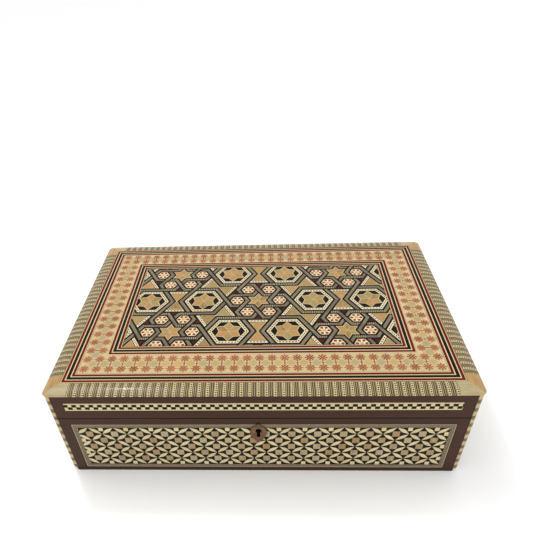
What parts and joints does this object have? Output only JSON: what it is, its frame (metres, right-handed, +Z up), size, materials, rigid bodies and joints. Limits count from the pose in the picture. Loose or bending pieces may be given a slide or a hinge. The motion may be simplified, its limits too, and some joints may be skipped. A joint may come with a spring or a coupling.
{
  "type": "inlaid wooden box",
  "caption": "Rectangular wooden box with a hinged lid, star marquetry inlay, striped rounded border and a small keyed lock.",
  "frame": {"origin": "middle of the underside, on the surface the box stands on", "axes": "+X along the long side to the right, -Y is the front with the keyhole, +Z up"},
  "size_m": [0.2468, 0.165, 0.072],
  "materials": {
    "mahogany": "gloss lacquer",
    "plywood": "bare",
    "bone_and_ebony_mosaic": "lacquered inlay",
    "pearl_star_mosaic": "lacquered inlay",
    "rosette_mosaic": "lacquered inlay",
    "line_veneer": "lacquered inlay",
    "striped_veneer": "lacquered inlay",
    "mother_of_pearl": "polished shell",
    "velvet": "short pile",
    "aged_brass": "tarnished",
    "steel": "dull"
  },
  "bodies": {
    "base": {"base_back": "mahogany", "base_corner_back_left": "striped_veneer", "base_corner_back_right": "striped_veneer", "base_corner_front_left": "striped_veneer", "base_corner_front_right": "striped_veneer", "base_front": "mahogany", "base_left": "mahogany", "base_right": "mahogany", "bottom_board": "mahogany", "escutcheon": "aged_brass", "hinge_left_base_leaf": "aged_brass", "hinge_left_pin": "aged_brass", "hinge_right_base_leaf": "aged_brass", "hinge_right_pin": "aged_brass", "lining_floor": "velvet", "lining_walls": "velvet", "lock_case": "aged_brass", "lock_key_post": "steel", "mosaic_panel_back": "bone_and_ebony_mosaic", "mosaic_panel_front": "bone_and_ebony_mosaic", "mosaic_panel_left": "bone_and_ebony_mosaic", "mosaic_panel_right": "bone_and_ebony_mosaic", "screw_left_base_inner": "aged_brass", "screw_left_base_outer": "aged_brass", "screw_right_base_inner": "aged_brass", "screw_right_base_outer": "aged_brass"},
    "lid": {"checker_strip_back": "bone_and_ebony_mosaic", "checker_strip_front": "bone_and_ebony_mosaic", "checker_strip_left": "bone_and_ebony_mosaic", "checker_strip_right": "bone_and_ebony_mosaic", "hinge_left_lid_leaf": "aged_brass", "hinge_right_lid_leaf": "aged_brass", "inner_frame": "line_veneer", "lid_back": "mahogany", "lid_board": "plywood", "lid_corner_back_left": "striped_veneer", "lid_corner_back_right": "striped_veneer", "lid_corner_front_left": "striped_veneer", "lid_corner_front_right": "striped_veneer", "lid_front": "mahogany", "lid_left": "mahogany", "lid_lining": "velvet", "lid_right": "mahogany", "outer_frame": "line_veneer", "pearl_corner_back_left": "mother_of_pearl", "pearl_corner_back_right": "mother_of_pearl", "pearl_corner_front_left": "mother_of_pearl", "pearl_corner_front_right": "mother_of_pearl", "rosette_band": "rosette_mosaic", "screw_left_lid_inner": "aged_brass", "screw_left_lid_outer": "aged_brass", "screw_right_lid_inner": "aged_brass", "screw_right_lid_outer": "aged_brass", "star_field": "pearl_star_mosaic", "strike_plate": "aged_brass", "striped_border_back": "striped_veneer", "striped_border_front": "striped_veneer", "striped_border_left": "striped_veneer", "striped_border_right": "striped_veneer"},
    "bolt": {"lock_bolt": "aged_brass"}
  },
  "joints": [
    {"name": "lid_hinge", "type": "hinge", "parent": "base", "child": "lid", "pos_m": [0, 0.0782, 0.0505], "axis": [-1, 0, 0], "range_deg": [0, 98]},
    {"name": "bolt_slide", "type": "slide", "parent": "base", "child": "bolt", "axis": [1, 0, 0], "range_m": [0, 0.0036]}
  ]
}
